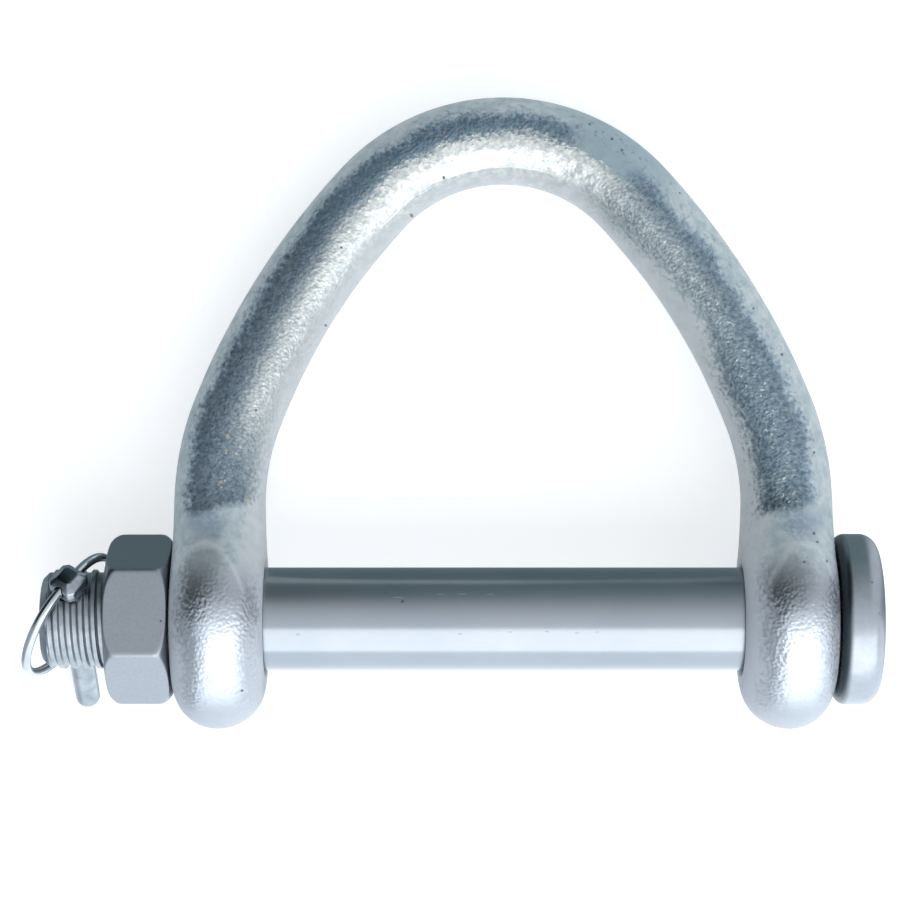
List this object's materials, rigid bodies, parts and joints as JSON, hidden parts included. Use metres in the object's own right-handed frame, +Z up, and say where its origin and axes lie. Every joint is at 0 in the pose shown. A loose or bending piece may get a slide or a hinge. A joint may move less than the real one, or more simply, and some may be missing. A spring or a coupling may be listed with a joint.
{
  "type": "safety bolt anchor shackle",
  "caption": "Forged galvanised shackle with a wide triangular bow, closed by a round-headed bolt with a hexagon nut, kept on by a linch pin with a wire snap ring.",
  "frame": {"origin": "on the surface that the shackle lies on, under the middle of its outer box", "axes": "+X along the bolt towards its head, +Y from the bolt towards the crown of the bow, +Z up"},
  "size_m": [0.2064, 0.1522, 0.0526],
  "materials": {
    "galvanised_forging": "hot-dip galvanised drop forging, uneven satin zinc with dark patches",
    "galvanised_bolt": "turned and galvanised steel, satin",
    "plated_nut": "zinc plated steel, fine matt grain",
    "plated_pin": "zinc plated steel, satin with bright edges",
    "bright_spring_wire": "bright zinc plated spring wire"
  },
  "bodies": {
    "bow": {"bow": "galvanised_forging"},
    "bolt": {"bolt": "galvanised_bolt"},
    "nut": {"nut": "plated_nut"},
    "linch_pin": {"linch_pin": "plated_pin"},
    "linch_ring": {"linch_ring": "bright_spring_wire"}
  },
  "joints": [
    {"name": "bolt_turn", "type": "hinge", "parent": "bow", "child": "bolt", "pos_m": [0.01278, -0.04936, 0.0263], "axis": [1, 0, 0], "continuous": true},
    {"name": "nut_turn", "type": "hinge", "parent": "bolt", "child": "nut", "pos_m": [-0.06737, -0.04936, 0.0263], "axis": [1, 0, 0], "range_deg": [-480, 36]},
    {"name": "pin_swivel", "type": "hinge", "parent": "bolt", "child": "linch_pin", "pos_m": [-0.09121, -0.04936, 0.0263], "axis": [0, 0.7344, 0.6788], "range_deg": [0, 65]},
    {"name": "ring_flip", "type": "hinge", "parent": "linch_pin", "child": "linch_ring", "pos_m": [-0.09121, -0.03842, 0.03641], "axis": [0.5446, 0.5693, -0.6159], "range_deg": [0, 205]}
  ]
}
